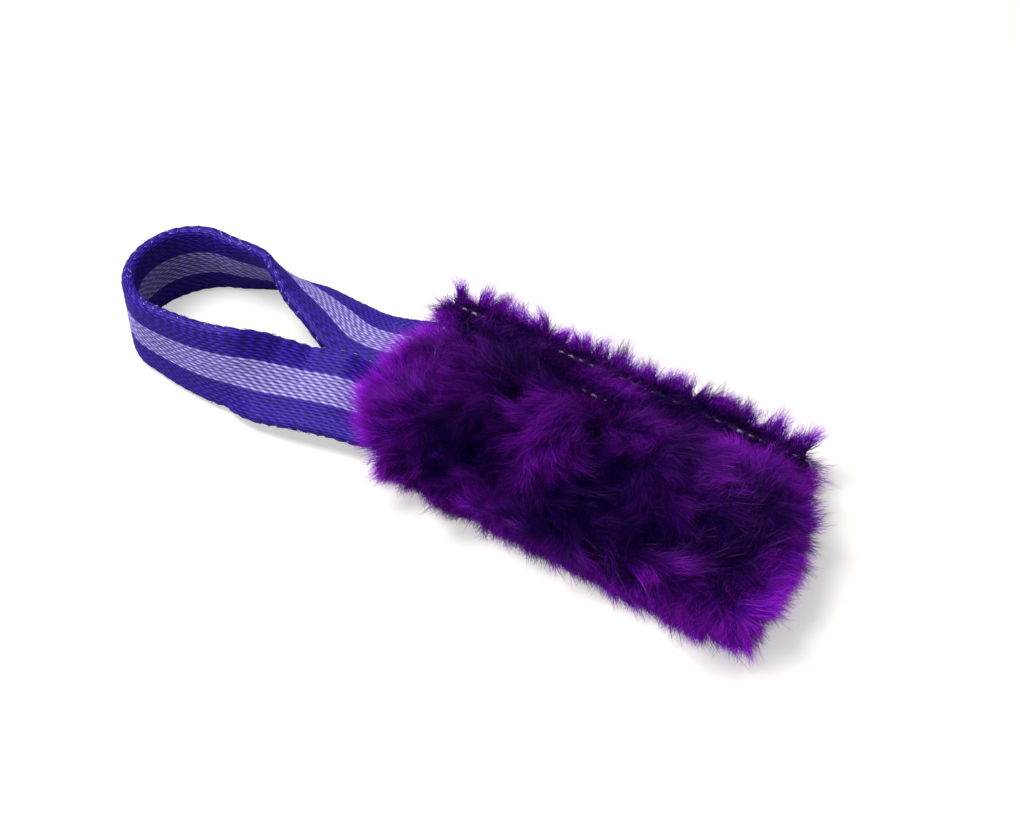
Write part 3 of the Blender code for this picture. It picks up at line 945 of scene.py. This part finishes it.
def backing_profile():
    """The backing cut across: (y, z) from its lower raw edge round the fold to its upper one."""
    upper = upper_backing_top - backing_thickness / 2
    lower = lower_pile + backing_thickness / 2
    radius = (upper - lower) / 2
    fold_y = near_tail_y - webbing_width / 2 - tail_room - backing_thickness / 2 + radius
    raw_y = back_y - raw_edge_inset
    below = [(y, lower) for y in np.linspace(raw_y, fold_y, backing_rows, endpoint=False)]
    turn = np.linspace(-math.pi / 2, -3 * math.pi / 2, backing_rows // 4)
    round_fold = [(fold_y + radius * math.cos(a), lower + radius + radius * math.sin(a)) for a in turn]
    above = [(y, upper) for y in np.linspace(fold_y, raw_y, backing_rows + 1)[1:]]
    return np.array(below + round_fold + above)


def body_ends(y):
    """Where the backing begins and ends along X, with its corners drawn in."""
    at_front = smooth_share((front_y + corner_reach - y) / corner_reach)
    at_back = smooth_share((y - inner_row_y) / (row_spacing / 2))
    across = (y - middle_y) / (body_width / 2)
    first = mouth_x + mouth_pile_inset + mouth_corner_cut * at_front - mouth_back_reach * at_back
    last = end_x - end_pile_inset - end_corner_cut * smooth_share(across - end_corner_start_share)
    return first, last + end_fold_reach * at_front


def drawn_up(x, y):
    """How far the lower side rises to meet the upper one past the tails, at the raw edges and the end."""
    _, last = body_ends(y)
    past_edge = smooth_share((y - (far_tail_y + webbing_width / 2)) / joining_run)
    past_tails = smooth_share((x - tail_end_x) / (last - tail_end_x - backing_thickness / 2))
    return np.maximum(past_edge, past_tails) * (webbing_thickness + 2 * tail_room)


def backing_surface(webbing):
    """The middle of the folded backing, as (rows round the fold, columns along the body, xyz)."""
    profile = backing_profile()
    first, last = body_ends(profile[:, 0])
    shares = np.linspace(0, 1, backing_columns)
    x = first[:, None] + (last - first)[:, None] * shares
    y = np.repeat(profile[:, :1], backing_columns, axis=1)
    z = np.repeat(profile[:, 1:], backing_columns, axis=1)
    half_turn = (profile[:, 1].max() - profile[:, 1].min()) / 2
    level = (profile[:, 1:] - profile[:, 1].min()) / (2 * half_turn)
    above = smooth_share(level)
    spots = np.stack([x, y, z], axis=-1)
    inward = np.minimum(shares, 1 - shares) * body_length
    beside = np.minimum(y - profile[:, 0].min(), profile[:, 0].max() - y)
    swell = smooth_share(inward / skin_corner) * smooth_share(beside / skin_corner)
    bumps = relief(spots.reshape(-1, 3)).reshape(x.shape)
    raised = skin_crown * swell + skin_relief * bumps * swell
    for row in (inner_row_y, outer_row_y):
        raised = raised * (1 - np.exp(-((y - row) / furrow_width) ** 2))
    top, bottom = webbing_room(webbing, x, y)
    room = tail_room + backing_thickness / 2
    z = z + raised * above
    z = np.where(above > 0.5, np.maximum(z, top + room), np.minimum(z, bottom - room))
    z = np.maximum(z, backing_thickness) + (1 - level) * drawn_up(x, y)
    return np.stack([x, y, z], axis=-1)


def make_backing(webbing):
    """The knitted backing as one folded sheet, and its outer surface, on which the pile stands."""
    middle = backing_surface(webbing)
    rows, columns = middle.shape[:2]
    normals = unit(np.cross(np.gradient(middle, axis=1), np.gradient(middle, axis=0)))
    outer = middle + normals * backing_thickness / 2
    inner = middle - normals * backing_thickness / 2
    faces = grid_faces(rows, columns, closed=False)
    index = np.arange(rows * columns).reshape(rows, columns)
    below = rows * columns
    walls = []
    for line in (index[0], index[:, -1], index[-1, ::-1], index[::-1, 0]):
        walls.append(np.stack([line[:-1] + below, line[1:] + below, line[1:], line[:-1]], axis=1))
    places = np.concatenate([outer.reshape(-1, 3), inner.reshape(-1, 3)])
    knit = speckled_material("fur_backing", knit_scale, KNIT_DARK, KNIT_PALE, {"Roughness": 0.9})
    skin = mesh_object("fur_backing", places, [faces, faces[:, ::-1] + below, np.concatenate(walls)], knit)
    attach(skin, "fur_body")
    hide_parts("fur_cover")
    return outer.reshape(-1, 3), normals.reshape(-1, 3), faces


def scatter(count, places, normals, faces):
    """Random places on the backing with their normals, fewer under the body."""
    corners, corner_normals = places[faces], normals[faces]
    area = np.linalg.norm(np.cross(corners[:, 2] - corners[:, 0], corners[:, 3] - corners[:, 1]), axis=1)
    joined = drawn_up(corners[:, 0, 0], corners[:, 0, 1]) / webbing_thickness
    area *= np.where(corner_normals[:, 0, 2] < -0.5, np.minimum(lower_side_share + joined, 1.0), 1.0)
    chosen = rng.choice(len(faces), size=count, p=area / area.sum())
    u, v = rng.uniform(size=(2, count, 1))

    def within(values):
        low = values[:, 0] * (1 - u) + values[:, 1] * u
        high = values[:, 3] * (1 - u) + values[:, 2] * u
        return low * (1 - v) + high * v

    return within(corners[chosen]), unit(within(corner_normals[chosen]))


def nearest(places, centres):
    tree = kdtree.KDTree(len(centres))
    for index, centre in enumerate(centres):
        tree.insert(centre, index)
    tree.balance()
    return np.array([tree.find(place)[1] for place in places])


def groove(past, shares):
    """How much a row of stitches draws the pile in, by shares of the groove's width before and past it."""
    before, beyond = shares
    return np.exp(-(past / np.where(past < 0, before * groove_width, beyond * groove_width)) ** 2)


class Regions:
    """How far each root belongs to each part of the fur, from 0 to 1."""

    def __init__(self, places, normals):
        x, y, slope = places[:, 0], places[:, 1], normals[:, 2]
        first, last = body_ends(y)
        upper = smooth_share(slope / upper_run)
        past_inner = smooth_share((y - inner_row_y) / thread_diameter)
        worn = 1 - worn_depth * smooth_share((along_body(places)[:, 0] - worn_share) / worn_run_share)
        into_raw_edge = y - (back_y - raw_edge_inset - skin_corner / 4)
        self.near_mouth = smooth_share(1 - (x - first) / skin_corner)
        self.near_end = smooth_share(1 - (last - x) / skin_corner)
        self.below = smooth_share((-slope - below_slope) / below_run)
        self.fold = smooth_share((fold_slope - np.abs(slope)) / fold_run) * (y < middle_y)
        self.flap = upper * smooth_share((y - outer_row_y) / (thread_diameter * 2))
        self.band = upper * (past_inner * smooth_share((outer_row_y - y) / thread_diameter))
        self.outer_groove = upper * groove(y - outer_row_y - groove_width / 4, outer_groove_shares)
        self.inner_groove = upper * groove(y - inner_row_y, inner_groove_shares) * worn
        short = np.maximum(inner_row_y - y, 0)
        self.beside = upper * (y < inner_row_y) * np.exp(-(short / slope_width) ** 2)
        self.mouth = self.near_mouth * (1 - self.below)
        self.end = self.near_end * (1 - self.below)
        self.hung = self.below * np.minimum(drawn_up(x, y) / webbing_thickness, 1)
        self.raw = smooth_share(into_raw_edge / (skin_corner / 4)) * self.below


def side_of_heading(side, places, normals):
    """The sideways part of the pile's heading, held back where it would lie over the rows of stitches."""
    y = places[:, 1]
    reach = side_reach_share * pile_length
    above = normals[:, 2] > 0
    ease = np.where(along_body(places)[:, 0] < worn_share, 0.0, worn_side_ease)
    before_inner, before_outer = inner_row_y - row_clearance - y, outer_row_y - row_clearance - y
    body_limit = np.clip(before_inner / reach, body_side_least, 1) + ease
    band_limit = np.clip(before_outer / (reach * band_share), -band_side_limit, 1)
    band_least = np.clip((inner_row_y + row_clearance - y) / (reach * band_share), -1, band_side_limit)
    on_body, on_flap = above & (y < inner_row_y), above & (y > outer_row_y)
    in_band = above & ~on_body & ~on_flap
    held = np.where(on_body, np.minimum(side, body_limit), side)
    held = np.where(in_band, np.clip(side, np.minimum(band_least, band_limit), band_limit), held)
    return np.where(on_flap, np.maximum(side, flap_side_least), held)


def headings(places, normals, regions):
    """The way that the pile lies at each root, along the backing."""
    angles = np.radians([mark[2] for mark in flow_shares])
    weights = marks_at(flow_shares, places, flow_reach_share) + 1e-9
    flow = unit(weights @ np.stack([np.cos(angles), np.sin(angles)], axis=1))
    turn = wide_turn_size * wide_turn(places) + fine_turn_size * fine_turn(places)
    ahead = flow[:, 0] * np.cos(turn) - flow[:, 1] * np.sin(turn)
    aside = flow[:, 0] * np.sin(turn) + flow[:, 1] * np.cos(turn)
    flow = np.stack([ahead, aside], axis=1)
    flow[:, 0] += end_push * regions.near_end - mouth_push * regions.near_mouth
    flow[:, 1] += raw_edge_push * regions.raw + flap_push * regions.flap
    in_band = np.array(band_way) + regions.near_mouth[:, None] * np.array(band_way_at_mouth)
    flow += band_push * regions.band[:, None] * in_band
    ahead, aside = unit(flow).T
    side = side_of_heading(aside, places, normals)
    kept = np.where(side == aside, np.abs(ahead), np.sqrt(np.clip(1 - side * side, 0, 1)))
    flow = np.stack([np.where(ahead < 0, -kept, kept), side, -fold_drop * regions.fold], axis=1)
    flow -= (flow * normals).sum(axis=1, keepdims=True) * normals
    return unit(flow)


def pile_facts(places, regions, height):
    """Length of the pile at each root, and its lift in degrees at the root and at the tip."""
    random_length = 1 + random_length_share * wide_turn(places[:, [1, 0, 2]])
    length = pile_length * random_length * (1 + crest_length_share * height)
    root = np.full(len(places), body_root_lift)
    tip = body_tip_lift + crest_lift * height + random_lift * lift_field(places)
    for name, share, root_lift, tip_lift in part_piles:
        part = getattr(regions, name)
        part_length = pile_length * share * (1 + part_crest_length_share * height)
        length = length * (1 - part) + part_length * part
        root = root * (1 - part) + root_lift * part
        tip = tip * (1 - part) + tip_lift * part
    return length, root, tip


def drawn(roots, normals, ways, length, root_lift, tip_lift, curl):
    """Lines of pile: steep at the root, laid over along their way, turned by curl, down at the tip."""
    sideways = np.cross(normals, ways)
    lines = [roots]
    for step in range(strand_segments):
        share = (step + 0.5) / strand_segments
        steep = max(0.0, 1 - share / steep_share)
        droop = droop_degrees * max(0.0, share - droop_start_share)
        up = np.radians(tip_lift + (root_lift - tip_lift) * steep - droop)
        turn = (curl * share ** curl_power)[:, None]
        flat = ways * np.cos(turn) + sideways * np.sin(turn)
        way = flat * np.cos(up)[:, None] + normals * np.sin(up)[:, None]
        way[:, 2] -= sag * share
        lines.append(lines[-1] + unit(way) * (length / strand_segments)[:, None])
    return np.stack(lines, axis=1)


def gathered(roots, parents, parent_lines, hold_range, power):
    """Lines that start at their own roots and draw in to their parents' lines towards the tip."""
    hold = rng.uniform(*hold_range, size=len(roots))
    lines = parent_lines[parents]
    own = roots[:, None] + lines - lines[:, :1]
    pull = hold[:, None, None] * (strand_shares ** power)[None, :, None]
    return own * (1 - pull) + lines * pull


def waved(lines, normals, size):
    """A soft wave along each line."""
    along = unit(lines[:, -1] - lines[:, 0])
    across = unit(np.cross(normals, along))
    phase = rng.uniform(0, 2 * math.pi, size=(len(lines), 1))
    turns = rng.uniform(*wave_turns_range, size=(len(lines), 1))
    wave = (np.sin(2 * math.pi * turns * strand_shares + phase) - np.sin(phase)) * size * strand_shares
    return lines + across[:, None] * wave[..., None]


def wandering(lines, spread, power):
    """Lines that go off their own way by chance, more towards the tip."""
    return lines + rng.normal(0, spread, size=(len(lines), 1, 3)) * (strand_shares ** power)[None, :, None]


def kept_clear(lines, normals, webbing):
    """Lays the pile on the floor, under the body's top, and round the webbing at the mouth."""
    top = body_height + strand_width
    over = lines[..., 2] > top
    lines[..., 2] = np.where(over, top + pressed_share * (lines[..., 2] - top), lines[..., 2])
    upward = (normals[:, 2] > facing_up)[:, None]
    legs = (np.arange(webbing.tip), np.arange(len(webbing.run) - 1, webbing.tip, -1))
    near_mouth = lines[..., 0] < mouth_x + hidden_depth
    limit = webbing_thickness / 2 + floor_clearance
    for leg in legs:
        middle, across, outward = webbing.passing(leg, lines[..., 0])
        away = lines - middle
        side = (away * across).sum(axis=-1)
        out = (away * outward).sum(axis=-1)
        face = np.where(outward[..., 2] > 0, 1.0, -1.0) * np.where(upward, 1.0, -1.0)
        inside = near_mouth & (np.abs(side) < webbing_width / 2 + floor_clearance) & (out * face < limit)
        inside &= out * face > -webbing_grip_share * webbing_thickness
        lines += np.where(inside, face * limit - out, 0)[..., None] * outward
    floor = floor_clearance + rng.uniform(0, floor_spread_share * floor_clearance, size=(len(lines), 1))
    lowest = floor + strand_shares[::-1] * lower_pile / 2
    lines[..., 2] = np.maximum(lines[..., 2], np.minimum(lowest, lines[:, :1, 2]))
    return lines


def ribbons(lines, width, roll, normals):
    """Thin tapered ribbons along the lines: points, faces, and how far each point is along its line."""
    count, points = lines.shape[:2]
    along = unit(np.gradient(lines, axis=1))
    across = unit(np.cross(normals[:, None], along) + 1e-9)
    upward = np.cross(along, across)
    side = across * np.cos(roll)[:, None, None] + upward * np.sin(roll)[:, None, None]
    half = width[:, None] * np.sqrt(np.clip(strand_taper_share - strand_shares, 0, 1))[None] / 2
    left = lines - side * half[..., None]
    right = lines + side * half[..., None]
    places = np.stack([left[:, :-1], right[:, :-1]], axis=2).reshape(count, -1, 3)
    places = np.concatenate([places, lines[:, -1:]], axis=1)
    each = places.shape[1]
    ring = np.arange(points - 2) * 2
    quads = np.stack([ring, ring + 1, ring + 3, ring + 2], axis=1)
    tip = np.array([[each - 3, each - 2, each - 1]])
    shift = (np.arange(count) * each)[:, None, None]
    share = np.concatenate([np.repeat(strand_shares[:-1], 2), [1.0]])
    return places, [(quads[None] + shift).reshape(-1, 4), (tip[None] + shift).reshape(-1, 3)], share


def ribbon_map(count, points):
    """Each ribbon's own cell on the bake's map, long way up, in the order of its faces."""
    side = math.ceil(math.sqrt(count))
    left, right = cell_margin_across, 1 - cell_margin_across
    levels = cell_margin_along + (1 - 2 * cell_margin_along) * np.arange(points) / (points - 1)
    rungs = zip(levels[:-2], levels[1:-1])
    quads = np.array([[(left, low), (right, low), (right, high), (left, high)] for low, high in rungs])
    tip = np.array([[(left, levels[-2]), (right, levels[-2]), (0.5, levels[-1])]])
    cell = np.arange(count)
    place = np.stack([cell % side, cell // side], axis=1)[:, None, None]
    return np.concatenate([((shape[None] + place) / side).reshape(-1, 2) for shape in (quads, tip)])


def unparted(roots, normals):
    """Roots and normals without those that the two rows of stitches pull in."""
    for row, beyond in zip((inner_row_y, outer_row_y), parted_widths):
        past = roots[:, 1] - row
        open_row = (past > -parted_widths[0]) & (past < beyond) & (normals[:, 2] > 0)
        roots, normals = roots[~open_row], normals[~open_row]
    return roots, normals


def lock_lines(locks, normals):
    """The locks' lines, drawn by the flow."""
    regions = Regions(locks, normals)
    ways = headings(locks, normals, regions)
    length, root_lift, tip_lift = pile_facts(locks, regions, relief(locks))
    length *= rng.uniform(*lock_length_range, size=len(locks))
    tip_lift += rng.normal(0, lock_lift_spread, size=len(locks))
    calm = 1 - lock_calm_share * np.clip(regions.mouth + regions.below + regions.fold, 0, 1)
    curl = lock_curl * curl_field(locks) + rng.normal(0, lock_curl_spread, size=len(locks))
    return drawn(locks, normals, ways, length, root_lift, tip_lift, np.radians(curl) * calm)


def undercoat(roots, normals, lines):
    """Short fibres that stand up and lean a little along the fibres whose places they take."""
    way = lines[:, -1] - lines[:, 0]
    reach = np.linalg.norm(way, axis=1) * undercoat_length_share
    stand = normals + undercoat_lean * unit(way)
    stand = unit(stand + rng.normal(0, undercoat_spread, size=stand.shape))
    return roots[:, None] + stand[:, None] * (reach[:, None] * strand_shares)[..., None]


def painted_lighting(tufts, normals):
    """How much painted light each tuft gets, and the power with which its painted light grows towards the
    tip.
    """
    regions = Regions(tufts, normals)
    light = body_light + crest_light * shade(tufts) + rng.normal(0, light_spread, size=len(tufts))
    for name, added in painted_part_lights:
        light += added * getattr(regions, name)
    return np.clip(light, 0, 1), light_power + flap_light_power * regions.flap


def pile_lines(webbing, places, normals, faces):
    """Every fibre's line, in locks that are drawn by the flow, of tufts, of fibres."""
    locks, lock_normals = scatter(lock_count, places, normals, faces)
    tufts, tuft_normals = scatter(tuft_count, places, normals, faces)
    roots, root_normals = unparted(*scatter(strand_count, places, normals, faces))
    lines = lock_lines(locks, lock_normals)
    lines = gathered(tufts, nearest(tufts, locks), lines, tuft_hold_range, tuft_hold_power)
    lines = wandering(waved(lines, tuft_normals, wave_size), tuft_wander, tuft_wander_power)
    tuft = nearest(roots, tufts)
    lines = gathered(roots, tuft, lines, strand_hold_range, strand_hold_power)
    stretch = rng.uniform(*strand_stretch_range, size=len(roots))
    lines = lines[:, :1] + (lines - lines[:, :1]) * stretch[:, None, None]
    lines = waved(lines, root_normals, strand_wave_share * wave_size)
    lines = wandering(lines, strand_wander, strand_wander_power)
    stray = rng.uniform(size=len(roots)) < stray_share
    lines[stray] = wandering(lines[stray], stray_wander, stray_wander_power)
    under = rng.uniform(size=len(roots)) < undercoat_share
    lines[under] = undercoat(roots[under], root_normals[under], lines[under])
    lines = kept_clear(lines, root_normals, webbing)
    # Painted light and shade of each fibre, taken from its tuft
    light, power = painted_lighting(tufts, tuft_normals)
    return lines, root_normals, light[tuft], power[tuft]


def make_fur(webbing):
    places, normals, faces = make_backing(webbing)
    lines, root_normals, light, power = pile_lines(webbing, places, normals, faces)
    width = strand_width * rng.uniform(*strand_width_range, size=len(lines))
    roll = rng.normal(0, strand_roll, size=len(lines))
    tone = rng.uniform(size=len(lines))
    material = pile_material()
    order = np.argsort(lines[:, 0, 0])
    for number, start in enumerate(range(0, len(order), strands_in_piece), 1):
        chosen = order[start:start + strands_in_piece]
        places, faces, share = ribbons(lines[chosen], width[chosen], roll[chosen], root_normals[chosen])
        values = np.ones((len(chosen), places.shape[1], 4))
        values[..., 0] = share
        values[..., 1] = tone[chosen, None]
        # Painted light and shade: the tuft's level, growing from the root to the tip
        values[..., 2] = light[chosen, None] * share ** power[chosen, None]
        uv = ribbon_map(len(chosen), strand_segments + 1)
        piece = mesh_object(f"fur_pile_{number:02d}", places, faces, material, {"pile": values}, uv)
        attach(piece, "fur_body")


# Seams


def seams():
    """(name, start, end) of each row of stitches, from above."""
    long_start, long_end = mouth_x + row_end_margin, end_x - closed_end_margin
    low_y, high_y = front_y + cross_seam_margin, inner_row_y - parting_width
    mouth_row = settled_x + mouth_seam_margin
    end_row = end_x - end_seam_from_edge
    return (
        ("outer_seam", (long_start, outer_row_y), (long_end, outer_row_y)),
        ("inner_seam", (long_start, inner_row_y), (long_end, inner_row_y)),
        ("mouth_seam", (mouth_row, low_y), (mouth_row, high_y)),
        ("end_seam", (end_row, low_y), (end_row, high_y)),
    )


def stitched_line(start, end, level, dip):
    """The thread's line: a stitch lies on the fabric and dips at each hole."""
    start, end = np.array(start), np.array(end)
    count = max(1, round(np.linalg.norm(end - start) / stitch_pitch))
    shares = np.linspace(0, count, count * stitch_samples + 1)
    within = np.abs((shares % 1.0) - 0.5) * 2
    sink = smooth_share((within - dip_start_share) / dip_run_share)
    flat = start + (end - start) * (shares / count)[:, None]
    return np.concatenate([flat, (level + dip * sink)[:, None]], axis=1)


def two_plies(line):
    """Points and faces of two plies that twist round each other along a line."""
    along = unit(np.gradient(line, axis=0))
    across = unit(np.cross(along, (0, 0, 1.0)))
    upward = np.cross(across, along)
    ply = thread_diameter / 4
    twist = distance_along(line) / (twist_pitch_share * thread_diameter) * 2 * math.pi
    plies = []
    for turn in (0, math.pi):
        angle = (twist + turn)[:, None]
        plies.append(line + (across * np.cos(angle) + upward * np.sin(angle)) * ply)
    return tubes(np.stack(plies), ply * ply_overlap_share, ply_sides)


def make_seams():
    """Each seam's needle and bobbin thread."""
    material = thread_material("seam_thread", THREAD)
    upper_level = upper_backing_top + thread_room + thread_diameter / 2
    lower_level = lower_pile - thread_room - thread_diameter / 2
    kinds = (("needle", upper_level, -hole_depth), ("bobbin", lower_level, stitch_dip))
    for name, start, end in seams():
        for kind, level, dip in kinds:
            line = stitched_line(start, end, level, dip)
            if kind == "bobbin":
                line[:, 2] += drawn_up(line[:, 0], line[:, 1])
            node = f"{name}_{kind}_thread"
            piece = mesh_object(node + "_plies", *two_plies(line), material)
            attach(piece, "fur_body")
            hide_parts(node)


# Floor, lights and camera


def view_axes():
    """The camera's backward, right and up directions."""
    azimuth, elevation = math.radians(view_azimuth), math.radians(view_elevation)
    level = math.cos(elevation)
    back = Vector((math.sin(azimuth) * level, -math.cos(azimuth) * level, math.sin(elevation)))
    right = Vector((math.cos(azimuth), math.sin(azimuth), 0))
    return back, right, back.cross(right)


def make_stage():
    """A white sheet that keeps the shadows, and a world that the camera sees as white."""
    mesh = bpy.data.meshes.new("floor")
    corners = [(x * floor_reach, y * floor_reach, 0) for x, y in ((-1, -1), (1, -1), (1, 1), (-1, 1))]
    mesh.from_pydata(corners, [], [(0, 1, 2, 3)])
    floor = place_object("floor", mesh)
    material, tree, shader = new_material("white_sheet")
    set_inputs(shader, {"Roughness": 0.9, "Specular IOR Level": 0.1})
    glow = add_node(tree, "ShaderNodeEmission")
    camera_ray = add_node(tree, "ShaderNodeLightPath").outputs["Is Camera Ray"]
    tree.links.new(mix_colours(tree, camera_ray, FLOOR_UNSEEN, FLOOR_SEEN), shader.inputs["Base Color"])
    tree.links.new(math_node(tree, "MULTIPLY", camera_ray, floor_glow), glow.inputs["Strength"])
    put_together(tree, "ShaderNodeAddShader", shader, glow)
    mesh.materials.append(material)
    world = bpy.data.worlds.new("studio")
    bpy.context.scene.world = world
    world.use_nodes = True
    tree = world.node_tree
    background = tree.nodes["Background"]
    background.inputs["Color"].default_value = WHITE
    path = add_node(tree, "ShaderNodeLightPath")
    seen = math_node(tree, "MAXIMUM", path.outputs["Is Camera Ray"], path.outputs["Is Transmission Ray"])
    level = math_node(tree, "MULTIPLY_ADD", seen, world_light_seen, world_light)
    tree.links.new(level, background.inputs["Strength"])


def make_lights():
    back, right, _ = view_axes()
    away = Vector((-back.x, -back.y, 0)).normalized()
    for name, shares, distance, size, power, colour in lights:
        light = bpy.data.lights.new(name, "AREA")
        light.shape = "DISK"
        light.size = size
        light.energy = power
        light.color = colour
        obj = place_object(name, light)
        direction = shares[0] * right + shares[1] * away + shares[2] * Vector((0, 0, 1))
        direction.normalize()
        obj.location = Vector(view_centre) + direction * distance
        obj.rotation_euler = direction.to_track_quat("Z", "Y").to_euler()


def make_camera():
    back, right, up = view_axes()
    camera = bpy.data.cameras.new("camera")
    camera.sensor_width = sensor_width
    camera.lens = focal_pixels / picture_width * sensor_width
    camera.clip_start = view_distance / 100
    camera.clip_end = 100.0
    obj = place_object("camera", camera)
    turned = Matrix((right, up, back)).transposed().to_4x4()
    obj.matrix_world = Matrix.Translation(Vector(view_centre) + back * view_distance) @ turned
    bpy.context.scene.camera = obj


wide_turn = smooth_field(wide_turn_length)
fine_turn = smooth_field(fine_turn_length)
lift_field = smooth_field(lift_length)
relief_field = smooth_field(relief_length)
curl_field = smooth_field(curl_length)

make_camera()
make_stage()
make_lights()
webbing_stations = make_webbing()
make_seams()
make_fur(webbing_stations)
bpy.context.scene.view_settings.view_transform = "Standard"
